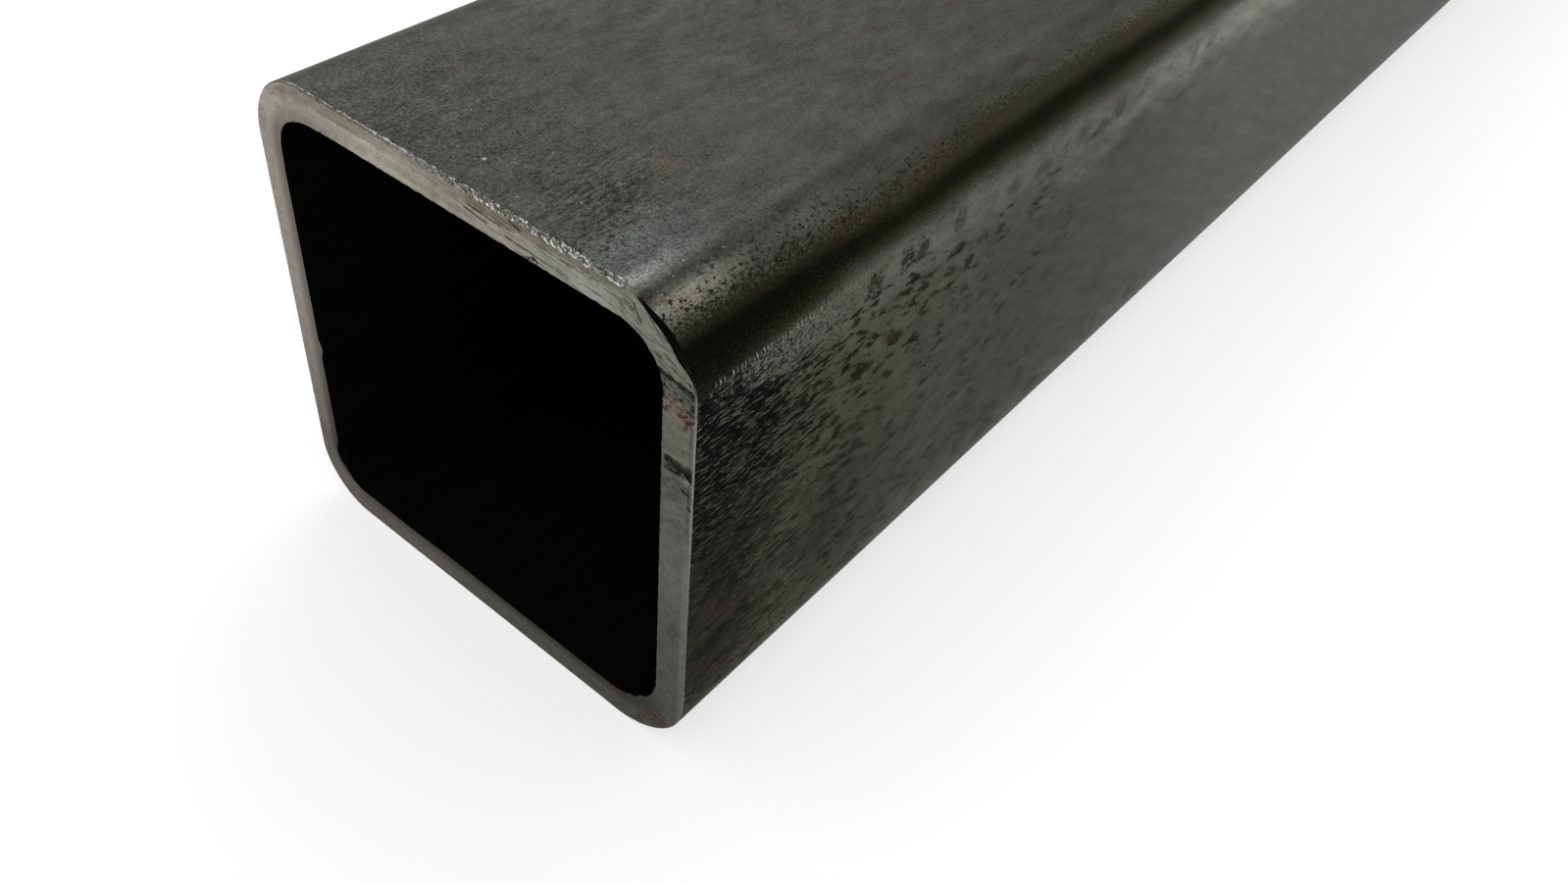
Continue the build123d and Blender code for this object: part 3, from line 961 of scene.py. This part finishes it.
class TubeStudio(bpy.types.PropertyGroup):
    """The plain studio: floor, light and camera."""

    floor_size: length_setting("Floor size", "Side of the square floor", 8.0)
    floor_shade: share_setting("Floor brightness", "Reflectance of the floor", 0.55)
    room_light: share_setting("Room light", "Even light that falls on matt surfaces", 0.75)
    horizon: share_setting("Horizon", "Brightness of the room at eye level, against 1 overhead", 0.80)
    key_power: FloatProperty(name="Key power", description="Power of the soft lamp", default=1.6, min=0.0,
                             unit="POWER")
    key_size: length_setting("Key size", "Side of the soft lamp", 0.6)
    lens: FloatProperty(name="Lens", description="Focal length on a 36 mm sensor", default=30.82, min=1.0,
                        unit="CAMERA")


# ---------------------------------------- operators


class TUBE_OT_make_wall(bpy.types.Operator):
    """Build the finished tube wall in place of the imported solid"""

    bl_idname = "tube.make_wall"
    bl_label = "Tube Wall"

    def execute(self, context):
        scene = context.scene
        shape = TubeShape(scene.tube_sizes)
        inward, y, finish = shape.rows()
        mesh = closed_grid_mesh("tube_wall", shape.points(inward, y), finish)
        look = scene.tube_look
        for make in (mill_scale_finish, sawn_steel_finish, filed_edge_finish, bore_scale_finish):
            mesh.materials.append(make(look))
        wall = bpy.data.objects.new("tube_wall", mesh)
        scene.collection.objects.link(wall)
        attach(wall, "root")
        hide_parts(NODE)
        return {"FINISHED"}


def larger(tree, first, second):
    """The larger of two numbers in a node tree."""
    node = tree.nodes.new("ShaderNodeMath")
    node.operation = "MAXIMUM"
    tree.links.new(first, node.inputs[0])
    tree.links.new(second, node.inputs[1])
    return node.outputs[0]


def seen_directly(tree):
    """1 for what the camera, metal and glass see, and 0 for light that falls on matt things."""
    rays = tree.nodes.new("ShaderNodeLightPath").outputs
    seen = larger(tree, rays["Is Camera Ray"], rays["Is Glossy Ray"])
    return larger(tree, seen, rays["Is Transmission Ray"])


def floor_finish(studio):
    """Matt pale floor. What sees it directly gets the missing light up to white added, so that
    the open floor is white and the tube's shadow stays."""
    material = bpy.data.materials.new("studio_floor")
    material.use_nodes = True
    tree = material.node_tree
    shader = tree.nodes["Principled BSDF"]
    shader.inputs["Base Color"].default_value = (*[studio.floor_shade] * 3, 1.0)
    shader.inputs["Roughness"].default_value = 1.0
    shader.inputs["Specular IOR Level"].default_value = 0.0
    shader.inputs["Emission Color"].default_value = (1.0, 1.0, 1.0, 1.0)
    seen = seen_directly(tree)
    missing = tree.nodes.new("ShaderNodeMath")
    missing.operation = "MULTIPLY"
    missing.inputs[1].default_value = OPEN_FLOOR - studio.floor_shade * studio.room_light
    tree.links.new(seen, missing.inputs[0])
    tree.links.new(missing.outputs[0], shader.inputs["Emission Strength"])
    return material


def make_floor(studio):
    """One flat square, level with the underside of the tube."""
    reach = studio.floor_size / 2
    corners = np.array([(-1, -1), (1, -1), (1, 1), (-1, 1)], float) * reach
    mesh = bpy.data.meshes.new("floor")
    mesh.from_pydata([(x, y, LOW.z) for x, y in corners], [], [(0, 1, 2, 3)])
    mesh.materials.append(floor_finish(studio))
    floor = bpy.data.objects.new("floor", mesh)
    bpy.context.scene.collection.objects.link(floor)


def make_room(studio):
    """Even pale light from all round. The camera sees it white. In the metal it is white
    overhead and a little greyer at eye level."""
    world = bpy.data.worlds.new("studio_room")
    bpy.context.scene.world = world
    world.use_nodes = True
    tree = world.node_tree
    background = tree.nodes["Background"]
    background.inputs["Color"].default_value = (1.0, 1.0, 1.0, 1.0)
    direction = tree.nodes.new("ShaderNodeTexCoord")
    parts = tree.nodes.new("ShaderNodeSeparateXYZ")
    tree.links.new(direction.outputs["Generated"], parts.inputs[0])
    height = tree.nodes.new("ShaderNodeMapRange")
    height.interpolation_type = "SMOOTHSTEP"
    tree.links.new(parts.outputs["Z"], height.inputs[0])
    overhead = 0.6
    for index, value in enumerate((0.0, overhead, studio.horizon, 1.0), start=1):
        height.inputs[index].default_value = value
    strength = tree.nodes.new("ShaderNodeMix")
    strength.data_type = "FLOAT"
    strength.inputs[2].default_value = studio.room_light
    tree.links.new(seen_directly(tree), strength.inputs[0])
    tree.links.new(height.outputs[0], strength.inputs[3])
    camera = tree.nodes.new("ShaderNodeLightPath").outputs["Is Camera Ray"]
    tree.links.new(larger(tree, camera, strength.outputs[0]), background.inputs["Strength"])


def make_key_lamp(studio):
    """One large soft lamp, high behind the tube, pointed at the middle of its length."""
    data = bpy.data.lights.new("key_lamp", "AREA")
    data.energy = studio.key_power
    data.size = studio.key_size
    lamp = bpy.data.objects.new("key_lamp", data)
    middle = (LOW + HIGH) / 2
    lamp.location = middle + LAMP_PLACE
    lamp.rotation_mode = "QUATERNION"
    lamp.rotation_quaternion = (middle - lamp.location).to_track_quat("-Z", "Y")
    bpy.context.scene.collection.objects.link(lamp)


def make_camera(studio):
    """Close over the near end, from its right. Pan turns it about the vertical, tilt is how far
    it looks down, and roll turns it about its own line of sight."""
    pan, tilt, roll = (math.radians(angle) for angle in CAMERA_TURN)
    data = bpy.data.cameras.new("camera")
    data.lens = studio.lens
    data.shift_x, data.shift_y = CAMERA_SHIFT
    data.clip_start = 0.005
    data.clip_end = 100.0
    camera = bpy.data.objects.new("camera", data)
    turn = (Matrix.Rotation(pan, 4, "Z") @ Matrix.Rotation(math.pi / 2 - tilt, 4, "X")
            @ Matrix.Rotation(roll, 4, "Z"))
    camera.matrix_world = Matrix.Translation(NEAR_END + CAMERA_PLACE) @ turn
    bpy.context.scene.collection.objects.link(camera)
    bpy.context.scene.camera = camera


class TUBE_OT_make_stage(bpy.types.Operator):
    """Build the plain floor, the soft light and the camera"""

    bl_idname = "tube.make_stage"
    bl_label = "Studio"

    def execute(self, context):
        studio = context.scene.tube_studio
        make_floor(studio)
        make_room(studio)
        make_key_lamp(studio)
        make_camera(studio)
        context.scene.view_settings.view_transform = "Standard"
        return {"FINISHED"}


class TUBE_PT_panel(bpy.types.Panel):
    """Lists the tube's settings and its build steps"""

    bl_idname = "TUBE_PT_panel"
    bl_label = "Square Steel Tube"
    bl_space_type = "VIEW_3D"
    bl_region_type = "UI"
    bl_category = "Tube"

    def draw(self, context):
        layout = self.layout
        scene = context.scene
        for title, group, step in (
            ("Wall relief", scene.tube_sizes, None),
            ("Finishes", scene.tube_look, TUBE_OT_make_wall),
            ("Studio", scene.tube_studio, TUBE_OT_make_stage),
        ):
            box = layout.box()
            box.label(text=title)
            for name in group.__annotations__:
                box.prop(group, name)
            if step:
                box.operator(step.bl_idname)


CLASSES = (TubeSizes, TubeLook, TubeStudio, TUBE_OT_make_wall, TUBE_OT_make_stage, TUBE_PT_panel)


def register():
    for cls in CLASSES:
        bpy.utils.register_class(cls)
    bpy.types.Scene.tube_sizes = PointerProperty(type=TubeSizes)
    bpy.types.Scene.tube_look = PointerProperty(type=TubeLook)
    bpy.types.Scene.tube_studio = PointerProperty(type=TubeStudio)


def unregister():
    del bpy.types.Scene.tube_studio
    del bpy.types.Scene.tube_look
    del bpy.types.Scene.tube_sizes
    for cls in reversed(CLASSES):
        bpy.utils.unregister_class(cls)


def main():
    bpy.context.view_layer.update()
    register()
    bpy.ops.tube.make_wall()
    bpy.ops.tube.make_stage()


if __name__ == "__main__":
    main()
